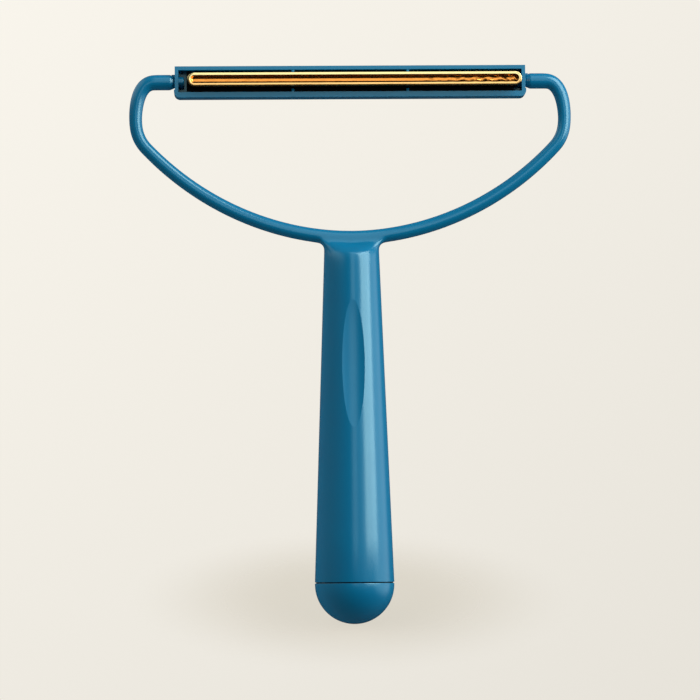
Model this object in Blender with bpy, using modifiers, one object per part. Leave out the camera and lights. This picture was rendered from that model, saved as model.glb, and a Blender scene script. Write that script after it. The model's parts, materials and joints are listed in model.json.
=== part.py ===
"""Lint remover: a round handle and a D-shaped bow in one moulding, carrying a swivelling head.

Frame: +Z runs up the handle to the head, the blade faces -Y and +X is to the right.
The origin is the lowest point of the end cap. Lengths are in metres, written as millimetres times MM.
"""

import math

import bmesh
import bpy
from mathutils import Matrix, Vector

MM = 0.001

# Gap kept between pieces that touch
TOUCH_GAP = 0.3 * MM

# End cap
CAP_RADIUS = 12.0 * MM
CAP_LIP = 0.3 * MM
CAP_WALL = 2.6 * MM
CAP_PLUG_LENGTH = 7.0 * MM
CAP_PLUG_WALL = 1.6 * MM

# Handle, from the cap's seam to the middle of the bow, with a dome that runs up into the bow
HANDLE_LENGTH = 104.9 * MM
HANDLE_TOP_RADIUS = 8.2 * MM
HANDLE_DOME_WIDTH = 6.0 * MM
HANDLE_DOME_HEIGHT = 3.3 * MM
HANDLE_WALL = 3.5 * MM
SEAM_CHAMFER = 0.25 * MM
HANDLE_CROWN = 10.0 * MM
THUMB_RECESS_LENGTH = 38.6 * MM
THUMB_RECESS_WIDTH = 6.8 * MM
THUMB_RECESS_HOLLOW = 16.5 * MM
THUMB_RECESS_FROM_SEAM = 65.8 * MM

# Bow: radii of its bar, and the pulls of its centreline's control points
BOW_BOTTOM_RADIUS = 2.12 * MM
BOW_SIDE_RADIUS = 1.95 * MM
BOW_END_RADIUS = 2.35 * MM
BOW_HEIGHT = 47.6 * MM
BOW_WIDEST_BELOW_AXIS = 12.6 * MM
BOW_OVERHANG = 11.5 * MM
BOW_STUB = 5.7 * MM
BOW_SHOULDER = 0.9 * MM
BOW_BOTTOM_PULL = 35.7 * MM
BOW_SIDE_PULL_DOWN = 8.7 * MM
BOW_SIDE_PULL_UP = 7.4 * MM
BOW_CORNER_PULL = 3.0 * MM
BOW_FILLET = 1.8 * MM
BOW_FILLET_THICKNESS = 2.6 * MM

# Blade: a pressed brass trough with a raised rim
BLADE_LENGTH = 101.6 * MM
BLADE_HEIGHT = 4.14 * MM
BLADE_RIM = 0.9 * MM
BLADE_DEPTH = 2.3 * MM
BLADE_TROUGH_DEPTH = 1.7 * MM
BLADE_PROUD = 4.2 * MM
BLADE_OFFSET = 1.25 * MM
BLADE_PRONGS = 5
PRONG_LENGTH = 1.6 * MM
PRONG_THICKNESS = 0.5 * MM
PRONG_DEPTH = 1.4 * MM

# Head housing: an open-fronted channel round the blade and its carrier
HEAD_END_GAP = 0.3 * MM
HEAD_LIP_GAP = 1.25 * MM
HEAD_LIP = 1.28 * MM
HEAD_END_WALL = 1.1 * MM
HEAD_BACK_WALL = 0.8 * MM
HEAD_FRONT = 2.6 * MM
HEAD_EDGE_ROUND = 0.2 * MM
HEAD_CORNER_ROUND = 1.4 * MM
CHEEK_PROUD = 0.25 * MM
CHEEK_HEIGHT = 2.1 * MM
TAB_SPACING = 35.0 * MM
TAB_WIDTH = 0.85 * MM
TAB_DEPTH = 1.2 * MM
TAB_SET_BACK = 0.1 * MM

# Swivel: a keyed spigot on each end of the bow, in a notched hole of the housing
SPIGOT_RADIUS = 1.7 * MM
SPIGOT_CLEARANCE = 0.25 * MM
SPIGOT_REACH = 2.2 * MM
KEY_WIDTH = 1.0 * MM
KEY_HEIGHT = 0.65 * MM
SWIVEL_LIMIT = math.radians(25)
STOP_CLEARANCE = math.radians(1)

# Carrier
PLINTH_INSET = 0.07 * MM

# Fineness of round shapes
HANDLE_STEPS = 48
BLADE_STEPS = 32
SPIGOT_STEPS = 24
RECESS_STEPS = 96
ARC_STEPS = 6

# Worked out: heights
SEAM_Z = CAP_RADIUS + CAP_LIP
HANDLE_FOOT_Z = SEAM_Z + TOUCH_GAP
BOW_BOTTOM_Z = HANDLE_FOOT_Z + HANDLE_LENGTH
AXIS_Z = BOW_BOTTOM_Z + BOW_HEIGHT

# Worked out: the end cap's plug and the socket for it
PLUG_RADIUS = CAP_RADIUS - HANDLE_WALL - TOUCH_GAP
SOCKET_RADIUS = PLUG_RADIUS + TOUCH_GAP
SOCKET_DEPTH = CAP_PLUG_LENGTH + TOUCH_GAP

# Worked out: the head's opening and outside, measured from the swivel axis
OPENING_HALF_LENGTH = BLADE_LENGTH / 2 + abs(BLADE_OFFSET) + HEAD_END_GAP
OPENING_HALF_HEIGHT = BLADE_HEIGHT / 2 + HEAD_LIP_GAP
HEAD_HALF_LENGTH = OPENING_HALF_LENGTH + HEAD_END_WALL
HEAD_HALF_HEIGHT = OPENING_HALF_HEIGHT + HEAD_LIP
FLOOR_Y = SPIGOT_RADIUS + TOUCH_GAP
HEAD_BACK_Y = FLOOR_Y + HEAD_BACK_WALL
SPIGOT_END_X = OPENING_HALF_LENGTH - SPIGOT_REACH
NECK_X = HEAD_HALF_LENGTH + CHEEK_PROUD + TOUCH_GAP
TAB_HEIGHT = HEAD_LIP_GAP - TOUCH_GAP
TAB_FRONT_Y = -HEAD_FRONT + TAB_SET_BACK
TAB_BACK_Y = TAB_FRONT_Y + TAB_DEPTH

# Worked out: the blade and its carrier
BLADE_FRONT_Y = -HEAD_FRONT - BLADE_PROUD
BLADE_BACK_Y = BLADE_FRONT_Y + BLADE_DEPTH
BASE_BACK_Y = FLOOR_Y - TOUCH_GAP
BASE_FRONT_Y = TAB_BACK_Y + TOUCH_GAP
BASE_HALF_LENGTH = SPIGOT_END_X - TOUCH_GAP
BASE_HALF_HEIGHT = OPENING_HALF_HEIGHT - TOUCH_GAP
PLINTH_FRONT_Y = BLADE_BACK_Y + TOUCH_GAP
PLINTH_BACK_Y = -SPIGOT_RADIUS - TOUCH_GAP
PLINTH_HALF_HEIGHT = BLADE_HEIGHT / 2 - PLINTH_INSET


def new_collection(name):
    """A collection of this name, in the scene."""
    made = bpy.data.collections.new(name)
    bpy.context.scene.collection.children.link(made)
    return made


def new_material(name, colour, roughness, metallic=0.0):
    """A Principled material of one colour."""
    made = bpy.data.materials.new(name)
    made.use_nodes = True
    shader = made.node_tree.nodes["Principled BSDF"]
    shader.inputs["Base Color"].default_value = (*colour, 1.0)
    shader.inputs["Roughness"].default_value = roughness
    shader.inputs["Metallic"].default_value = metallic
    return made


def object_of(name, mesh, collection):
    """A mesh as an object in a collection."""
    made = bpy.data.objects.new(name, mesh)
    collection.objects.link(made)
    return made


def baked(source):
    """An object's evaluated shape as a welded mesh in world space, with the object removed."""
    bpy.context.view_layer.update()
    evaluated = source.evaluated_get(bpy.context.evaluated_depsgraph_get())
    mesh = bpy.data.meshes.new_from_object(evaluated)
    mesh.transform(source.matrix_world)
    bpy.data.objects.remove(source)
    shape = bmesh.new()
    shape.from_mesh(mesh)
    bmesh.ops.remove_doubles(shape, verts=shape.verts, dist=0.001 * MM)
    shape.to_mesh(mesh)
    shape.free()
    return mesh


def turned(name, profile, steps):
    """A mesh turned about Z from (radius, height) points that run down its outer side."""
    mesh = bpy.data.meshes.new(name)
    places = [(radius, 0.0, height) for radius, height in profile]
    mesh.from_pydata(places, [(i, i + 1) for i in range(len(places) - 1)], [])
    source = object_of(name, mesh, cutters)
    screw = source.modifiers.new("turn", "SCREW")
    screw.steps = steps
    screw.render_steps = steps
    screw.use_merge_vertices = True
    screw.merge_threshold = 0.001 * MM
    return baked(source)


def stadium(name, profile, half_length, steps):
    """A turned mesh facing -Y, pulled apart along X into a form with straight sides and round ends."""
    mesh = turned(name, profile, steps)
    mesh.transform(Matrix.Rotation(math.pi / steps, 4, "Z"))
    straight = half_length - max(radius for radius, _ in profile)
    for vertex in mesh.vertices:
        if abs(vertex.co.x) > 0.001 * MM:
            vertex.co.x += math.copysign(straight, vertex.co.x)
    mesh.transform(Matrix.Rotation(math.pi / 2, 4, "X"))
    return mesh


def block(name, low, high, collection):
    """A box between two corners."""
    mesh = bpy.data.meshes.new(name)
    shape = bmesh.new()
    bmesh.ops.create_cube(shape, size=1.0)
    low = Vector(low)
    high = Vector(high)
    bmesh.ops.scale(shape, vec=high - low, verts=shape.verts)
    bmesh.ops.translate(shape, vec=(high + low) / 2, verts=shape.verts)
    shape.to_mesh(mesh)
    shape.free()
    return object_of(name, mesh, collection)


def rod(name, radius, from_x, to_x, collection):
    """A round rod on the swivel axis."""
    mesh = bpy.data.meshes.new(name)
    shape = bmesh.new()
    bmesh.ops.create_cone(
        shape, cap_ends=True, segments=SPIGOT_STEPS,
        radius1=radius, radius2=radius, depth=abs(to_x - from_x),
    )
    bmesh.ops.rotate(shape, matrix=Matrix.Rotation(math.pi / 2, 3, "Y"), verts=shape.verts)
    bmesh.ops.translate(shape, vec=((from_x + to_x) / 2, 0, AXIS_Z), verts=shape.verts)
    shape.to_mesh(mesh)
    shape.free()
    return object_of(name, mesh, collection)


def plate(name, outline, front, back, edge_round=0.0):
    """A mesh of a flat outline of (x, z) points, between two depths along Y."""
    curve = bpy.data.curves.new(name, "CURVE")
    curve.dimensions = "2D"
    curve.fill_mode = "BOTH"
    curve.extrude = abs(back - front) / 2 - edge_round
    curve.bevel_depth = edge_round
    curve.bevel_resolution = 1
    curve.offset = -edge_round
    spline = curve.splines.new("POLY")
    spline.points.add(len(outline) - 1)
    for point, (x, z) in zip(spline.points, outline):
        point.co = (x, z, 0.0, 1.0)
    spline.use_cyclic_u = True
    source = object_of(name, curve, cutters)
    source.rotation_euler.x = math.pi / 2
    source.location.y = (front + back) / 2
    return baked(source)


def arc(centre, radius, start, end, steps=ARC_STEPS):
    """Points along an arc, its angles in degrees."""
    angles = [math.radians(start + (end - start) * i / steps) for i in range(steps + 1)]
    return [(centre[0] + radius * math.cos(a), centre[1] + radius * math.sin(a)) for a in angles]


def combine(target, tool, operation):
    """Joins a tool to an object, or cuts it away."""
    tool.hide_render = True
    tool.display_type = "WIRE"
    boolean = target.modifiers.new(tool.name, "BOOLEAN")
    boolean.operation = operation
    boolean.object = tool


def finish(piece, material):
    """Gives a piece its material, and smooth shading with sharp edges."""
    piece.data.materials.clear()
    piece.data.materials.append(material)
    piece.data.shade_smooth()
    piece.data.set_sharp_from_angle(angle=math.radians(35))


def handle_radius(z):
    """The handle's outside radius at a height."""
    share = (z - HANDLE_FOOT_Z) / HANDLE_LENGTH
    return CAP_RADIUS + (HANDLE_TOP_RADIUS - CAP_RADIUS) * share


def handle_profile():
    """The handle from the middle of its top, down its outside and up its bore."""
    quarter = arc((0.0, 0.0), 1.0, 90, 0)
    crown_radius = HANDLE_TOP_RADIUS - HANDLE_DOME_WIDTH
    dome_z = BOW_BOTTOM_Z - HANDLE_DOME_HEIGHT
    dome = [(crown_radius + HANDLE_DOME_WIDTH * x, dome_z + HANDLE_DOME_HEIGHT * z) for x, z in quarter]
    foot = [(CAP_RADIUS, HANDLE_FOOT_Z + SEAM_CHAMFER), (CAP_RADIUS - SEAM_CHAMFER, HANDLE_FOOT_Z)]
    bore_top_z = BOW_BOTTOM_Z - HANDLE_CROWN
    shoulder_z = HANDLE_FOOT_Z + SOCKET_DEPTH
    bore = [
        (SOCKET_RADIUS, HANDLE_FOOT_Z),
        (SOCKET_RADIUS, shoulder_z),
        (handle_radius(shoulder_z) - HANDLE_WALL - TOUCH_GAP, shoulder_z),
        (handle_radius(bore_top_z) - HANDLE_WALL - TOUCH_GAP, bore_top_z),
        (0.0, bore_top_z),
    ]
    return [(0.0, BOW_BOTTOM_Z)] + dome + foot + bore


def bow_points():
    """Control points of the bow from left to right: place, both handles and radius."""
    widest_x = NECK_X + BOW_OVERHANG
    bend_x = NECK_X + BOW_STUB
    shoulder_x = NECK_X + BOW_SHOULDER
    third = (bend_x - shoulder_x) / 3
    tip = BOW_SHOULDER / 3
    right = [
        ((widest_x, AXIS_Z - BOW_WIDEST_BELOW_AXIS),
         (0.0, -BOW_SIDE_PULL_DOWN), (0.0, BOW_SIDE_PULL_UP), BOW_SIDE_RADIUS),
        ((bend_x, AXIS_Z), (BOW_CORNER_PULL, 0.0), (-third, 0.0), BOW_END_RADIUS),
        ((shoulder_x, AXIS_Z), (third, 0.0), (-tip, 0.0), BOW_END_RADIUS),
        ((NECK_X, AXIS_Z), (tip, 0.0), (-tip, 0.0), SPIGOT_RADIUS + SPIGOT_CLEARANCE),
    ]
    left = [
        ((-x, z), (-after[0], after[1]), (-before[0], before[1]), radius)
        for (x, z), before, after, radius in reversed(right)
    ]
    bottom = (
        (0.0, BOW_BOTTOM_Z), (-BOW_BOTTOM_PULL, 0.0), (BOW_BOTTOM_PULL, 0.0), BOW_BOTTOM_RADIUS,
    )
    return left + [bottom] + right


def bow_mesh():
    """The bow's round bar, swept along its centreline."""
    curve = bpy.data.curves.new("bow", "CURVE")
    curve.dimensions = "3D"
    curve.resolution_u = 10
    curve.bevel_depth = BOW_SIDE_RADIUS
    curve.bevel_resolution = 6
    curve.use_fill_caps = True
    points = bow_points()
    spline = curve.splines.new("BEZIER")
    spline.bezier_points.add(len(points) - 1)
    for point, ((x, z), before, after, radius) in zip(spline.bezier_points, points):
        point.handle_left_type = "FREE"
        point.handle_right_type = "FREE"
        point.co = (x, 0.0, z)
        point.handle_left = (x + before[0], 0.0, z + before[1])
        point.handle_right = (x + after[0], 0.0, z + after[1])
        point.radius = radius / BOW_SIDE_RADIUS
    return baked(object_of("bow", curve, cutters))


def fillet_outline(side):
    """The hollow fillet between the handle's side and the bow's underside, on one side."""
    foot_z = BOW_BOTTOM_Z - HANDLE_DOME_HEIGHT
    hollow = arc((HANDLE_TOP_RADIUS + BOW_FILLET, foot_z), BOW_FILLET, 180, 110)
    inner_x = HANDLE_TOP_RADIUS - HANDLE_DOME_WIDTH / 2
    outline = [(inner_x, foot_z)] + hollow + [(hollow[-1][0], BOW_BOTTOM_Z), (inner_x, BOW_BOTTOM_Z)]
    return [(side * x, z) for x, z in outline]


def thumb_recess():
    """A long barrel, turned about a line in front of the handle, that scoops out the thumb recess."""
    middle_z = HANDLE_FOOT_Z + THUMB_RECESS_FROM_SEAM
    half_width = THUMB_RECESS_WIDTH / 2
    half_length = THUMB_RECESS_LENGTH / 2
    radius = handle_radius(middle_z)
    depth = sum(r - math.sqrt(r ** 2 - half_width ** 2) for r in (radius, THUMB_RECESS_HOLLOW))
    stave_radius = (half_length ** 2 + depth ** 2) / (2 * depth)
    reach = math.degrees(math.asin(half_length / stave_radius)) * 1.3
    stave = arc((THUMB_RECESS_HOLLOW - stave_radius, 0.0), stave_radius, reach, -reach, 2 * ARC_STEPS)
    profile = [(0.0, stave[0][1])] + stave + [(0.0, stave[-1][1])]
    mesh = turned("thumb_recess", profile, RECESS_STEPS)
    lean = math.atan2(CAP_RADIUS - HANDLE_TOP_RADIUS, HANDLE_LENGTH)
    outward = Vector((0.0, -math.cos(lean), math.sin(lean)))
    floor = Vector((0.0, -radius, middle_z)) - outward * depth
    mesh.transform(Matrix.Rotation(-lean, 4, "X"))
    mesh.transform(Matrix.Translation(floor + outward * THUMB_RECESS_HOLLOW))
    return object_of("thumb_recess", mesh, cutters)


def build_bow_handle():
    """Handle, bow and spigots, moulded in one piece."""
    piece = object_of("bow_handle", turned("bow_handle", handle_profile(), HANDLE_STEPS), parts)
    combine(piece, object_of("bow", bow_mesh(), cutters), "UNION")
    half = BOW_FILLET_THICKNESS / 2
    key_top = SPIGOT_RADIUS + KEY_HEIGHT
    for side, label in ((-1, "left"), (1, "right")):
        web = plate("fillet_" + label, fillet_outline(side), -half, half)
        combine(piece, object_of("fillet_" + label, web, cutters), "UNION")
        inner_x = side * SPIGOT_END_X
        outer_x = side * (NECK_X + BOW_SHOULDER)
        combine(piece, rod("spigot_" + label, SPIGOT_RADIUS, inner_x, outer_x, cutters), "UNION")
        ends = sorted((side * OPENING_HALF_LENGTH, side * (NECK_X + BOW_SHOULDER / 2)))
        key = block(
            "key_" + label,
            (ends[0], -KEY_WIDTH / 2, AXIS_Z), (ends[1], KEY_WIDTH / 2, AXIS_Z + key_top), cutters,
        )
        combine(piece, key, "UNION")
    combine(piece, thumb_recess(), "DIFFERENCE")
    finish(piece, blue_plastic)


def build_end_cap():
    """The round cap that plugs the handle's bore: from its floor, up its bore and down its outside."""
    hollow_radius = CAP_RADIUS - CAP_WALL
    bore_radius = PLUG_RADIUS - CAP_PLUG_WALL
    reach = math.degrees(math.asin(bore_radius / hollow_radius))
    floor = arc((0.0, CAP_RADIUS), hollow_radius, -90, -90 + reach)
    plug_top_z = SEAM_Z + CAP_PLUG_LENGTH
    plug = [
        (bore_radius, plug_top_z), (PLUG_RADIUS, plug_top_z),
        (PLUG_RADIUS, SEAM_Z), (CAP_RADIUS - SEAM_CHAMFER, SEAM_Z),
        (CAP_RADIUS, SEAM_Z - SEAM_CHAMFER),
    ]
    dome = arc((0.0, CAP_RADIUS), CAP_RADIUS, 0, -90, 2 * ARC_STEPS)
    piece = object_of("end_cap", turned("end_cap", floor + plug + dome, HANDLE_STEPS), parts)
    finish(piece, blue_plastic)


def housing_outline():
    """The head's outline seen from the front: square above, with proud and rounded cheeks below."""
    top_z = AXIS_Z + HEAD_HALF_HEIGHT
    bottom_z = AXIS_Z - HEAD_HALF_HEIGHT
    cheek_x = HEAD_HALF_LENGTH + CHEEK_PROUD
    cheek_z = bottom_z + CHEEK_HEIGHT
    corner = arc(
        (cheek_x - HEAD_CORNER_ROUND, bottom_z + HEAD_CORNER_ROUND), HEAD_CORNER_ROUND, 0, -90,
    )
    right = [(HEAD_HALF_LENGTH, top_z), (HEAD_HALF_LENGTH, cheek_z + CHEEK_PROUD), (cheek_x, cheek_z)]
    right += corner
    return right + [(-x, z) for x, z in reversed(right)]


def swivel_notches():
    """The sectors that the spigots' keys turn in, cut along the whole head."""
    half_angle = math.degrees(
        SWIVEL_LIMIT + STOP_CLEARANCE
        + math.asin(KEY_WIDTH / 2 / (SPIGOT_RADIUS + SPIGOT_CLEARANCE))
    )
    radius = SPIGOT_RADIUS + KEY_HEIGHT + SPIGOT_CLEARANCE
    outline = [(0.0, AXIS_Z)] + arc((0.0, AXIS_Z), radius, 90 - half_angle, 90 + half_angle)
    reach = HEAD_HALF_LENGTH + HEAD_END_WALL
    mesh = plate("swivel_notches", outline, -reach, reach)
    mesh.transform(Matrix.Rotation(math.pi / 2, 4, "Z"))
    return object_of("swivel_notches", mesh, cutters)


def build_head_housing():
    """The channel with its lips, floor, end walls with bearing holes, and four snap tabs."""
    outside = plate("head_housing", housing_outline(), -HEAD_FRONT, HEAD_BACK_Y, HEAD_EDGE_ROUND)
    piece = object_of("head_housing", outside, parts)
    cavity = block(
        "head_cavity",
        (-OPENING_HALF_LENGTH, -2 * HEAD_FRONT, AXIS_Z - OPENING_HALF_HEIGHT),
        (OPENING_HALF_LENGTH, FLOOR_Y, AXIS_Z + OPENING_HALF_HEIGHT), cutters,
    )
    combine(piece, cavity, "DIFFERENCE")
    reach = HEAD_HALF_LENGTH + HEAD_END_WALL
    hole = rod("swivel_holes", SPIGOT_RADIUS + SPIGOT_CLEARANCE, -reach, reach, cutters)
    combine(piece, hole, "DIFFERENCE")
    combine(piece, swivel_notches(), "DIFFERENCE")
    for side, label in ((-1, "left"), (1, "right")):
        for up, level in ((-1, "lower"), (1, "upper")):
            heights = sorted((
                AXIS_Z + up * (OPENING_HALF_HEIGHT - TAB_HEIGHT),
                AXIS_Z + up * (OPENING_HALF_HEIGHT + HEAD_LIP / 2),
            ))
            middle_x = side * TAB_SPACING / 2
            tab = block(
                "tab_" + label + "_" + level,
                (middle_x - TAB_WIDTH / 2, TAB_FRONT_Y, heights[0]),
                (middle_x + TAB_WIDTH / 2, TAB_BACK_Y, heights[1]), cutters,
            )
            combine(piece, tab, "UNION")
    finish(piece, blue_plastic)


def prong_places():
    """Middles along X of the blade's prongs."""
    pitch = BLADE_LENGTH / BLADE_PRONGS
    return [BLADE_OFFSET + pitch * (i - (BLADE_PRONGS - 1) / 2) for i in range(BLADE_PRONGS)]


def build_blade_carrier():
    """The black insert: a flange behind the tabs, a neck, and the plinth that carries the blade."""
    flange = block(
        "blade_carrier",
        (-BASE_HALF_LENGTH, BASE_FRONT_Y, AXIS_Z - BASE_HALF_HEIGHT),
        (BASE_HALF_LENGTH, BASE_BACK_Y, AXIS_Z + BASE_HALF_HEIGHT), parts,
    )
    half_length = BLADE_LENGTH / 2 - PLINTH_INSET
    mesh = stadium(
        "plinth",
        [(0.0, -PLINTH_FRONT_Y), (PLINTH_HALF_HEIGHT, -PLINTH_FRONT_Y),
         (PLINTH_HALF_HEIGHT, -PLINTH_BACK_Y), (0.0, -PLINTH_BACK_Y)],
        half_length, BLADE_STEPS,
    )
    plinth = object_of("plinth", mesh, cutters)
    plinth.location = (BLADE_OFFSET, 0.0, AXIS_Z)
    combine(flange, plinth, "UNION")
    neck_half_height = PLINTH_HALF_HEIGHT - PLINTH_INSET
    left_x = max(BLADE_OFFSET - half_length, -BASE_HALF_LENGTH) + HEAD_LIP
    right_x = min(BLADE_OFFSET + half_length, BASE_HALF_LENGTH) - HEAD_LIP
    neck = block(
        "neck",
        (left_x, (PLINTH_BACK_Y + PLINTH_FRONT_Y) / 2, AXIS_Z - neck_half_height),
        (right_x, (BASE_FRONT_Y + BASE_BACK_Y) / 2, AXIS_Z + neck_half_height), cutters,
    )
    combine(flange, neck, "UNION")
    for number, x in enumerate(prong_places(), 1):
        half_length = PRONG_LENGTH / 2 + TOUCH_GAP
        half_height = PRONG_THICKNESS / 2 + TOUCH_GAP
        slot = block(
            "slot_%d" % number,
            (x - half_length, BLADE_FRONT_Y, AXIS_Z - half_height),
            (x + half_length, BLADE_BACK_Y + PRONG_DEPTH + TOUCH_GAP, AXIS_Z + half_height), cutters,
        )
        combine(flange, slot, "DIFFERENCE")
    finish(flange, black_plastic)


def blade_profile():
    """Half of the blade's section, from the trough's middle over the rim to the back."""
    outer = BLADE_HEIGHT / 2
    inner = outer - BLADE_RIM
    edge = BLADE_RIM / 3
    front = -BLADE_FRONT_Y
    floor = front - BLADE_TROUGH_DEPTH
    hollow_depth = min(inner, BLADE_TROUGH_DEPTH - edge)
    hollow = [
        (inner * math.sin(math.radians(a)), floor + hollow_depth * (1 - math.cos(math.radians(a))))
        for a in (0, 25, 50, 75, 90)
    ]
    rim = [(inner, front - edge), (inner + edge, front), (outer - edge, front), (outer, front - edge)]
    return hollow + rim + [(outer, -BLADE_BACK_Y), (0.0, -BLADE_BACK_Y)]


def build_blade():
    """The brass trough with its rim, and the prongs that hold it in the carrier."""
    mesh = stadium("blade", blade_profile(), BLADE_LENGTH / 2, BLADE_STEPS)
    piece = object_of("blade", mesh, parts)
    piece.location = (BLADE_OFFSET, 0.0, AXIS_Z)
    for number, x in enumerate(prong_places(), 1):
        prong = block(
            "prong_%d" % number,
            (x - PRONG_LENGTH / 2, BLADE_BACK_Y - TOUCH_GAP, AXIS_Z - PRONG_THICKNESS / 2),
            (x + PRONG_LENGTH / 2, BLADE_BACK_Y + PRONG_DEPTH, AXIS_Z + PRONG_THICKNESS / 2), cutters,
        )
        combine(piece, prong, "UNION")
    finish(piece, brass)


for old in list(bpy.data.objects):
    bpy.data.objects.remove(old)

parts = new_collection("lint_remover")
cutters = new_collection("cutters")
cutters.hide_render = True

blue_plastic = new_material("blue_plastic", (0.016, 0.125, 0.235), 0.32)
black_plastic = new_material("black_plastic", (0.006, 0.006, 0.008), 0.5)
brass = new_material("brass", (0.88, 0.56, 0.18), 0.22, 1.0)

build_bow_handle()
build_end_cap()
build_head_housing()
build_blade_carrier()
build_blade()
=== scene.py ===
"""How the lint remover looks: petrol blue mouldings, a black insert and a pressed brass blade.

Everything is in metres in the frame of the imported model: +Z runs up the handle, and the blade faces -Y.
"""

import json
import logging
import math
from collections.abc import Callable, Iterator
from contextlib import contextmanager
from dataclasses import dataclass, field
from enum import Enum
from functools import reduce
from typing import Any

import bmesh
import bpy
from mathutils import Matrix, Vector


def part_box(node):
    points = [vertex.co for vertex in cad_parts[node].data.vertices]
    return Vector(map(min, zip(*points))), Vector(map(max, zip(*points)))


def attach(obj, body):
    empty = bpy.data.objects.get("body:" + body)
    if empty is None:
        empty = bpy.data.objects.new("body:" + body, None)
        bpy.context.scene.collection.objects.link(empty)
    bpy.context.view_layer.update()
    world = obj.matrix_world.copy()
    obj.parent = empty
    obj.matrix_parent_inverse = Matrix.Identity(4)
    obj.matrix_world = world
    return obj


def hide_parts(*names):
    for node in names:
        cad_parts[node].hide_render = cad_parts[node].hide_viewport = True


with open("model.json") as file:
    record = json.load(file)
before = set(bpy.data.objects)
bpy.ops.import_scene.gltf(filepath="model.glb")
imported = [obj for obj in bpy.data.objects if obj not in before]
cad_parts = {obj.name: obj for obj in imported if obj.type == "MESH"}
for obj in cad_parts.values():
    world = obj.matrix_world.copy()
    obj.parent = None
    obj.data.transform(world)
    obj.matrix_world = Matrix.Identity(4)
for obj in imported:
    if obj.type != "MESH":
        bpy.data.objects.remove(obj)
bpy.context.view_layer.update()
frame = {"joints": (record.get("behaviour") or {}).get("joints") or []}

MM = 0.001
SWIVEL_Z = frame["joints"][0]["pos_m"][2]
TOUCH_GAP = 0.3 * MM
SMALL = 0.01 * MM
LOG = logging.getLogger("lint_remover")

RingStep = tuple[float, float]
Socket = bpy.types.NodeSocket


class Kind(Enum):
    """What a selection in edit mode is made of."""

    VERTEX = "VERT"
    EDGE = "EDGE"
    FACE = "FACE"


class Join(Enum):
    """How one closed shape is put together with another."""

    ADD = "UNION"
    CUT = "DIFFERENCE"


class Body(Enum):
    """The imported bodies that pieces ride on."""

    HANDLE = "handle"
    HEAD = "head"


def linear(code: str) -> tuple[float, float, float, float]:
    """An sRGB hex colour as linear red, green, blue and alpha.

    Args:
        code: The colour, such as "#1f6a93".

    Returns:
        The four linear values.
    """
    values = [int(code[i:i + 2], 16) / 255 for i in (1, 3, 5)]
    lit = [v / 12.92 if v <= 0.04045 else ((v + 0.055) / 1.055) ** 2.4 for v in values]
    return (lit[0], lit[1], lit[2], 1.0)


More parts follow.
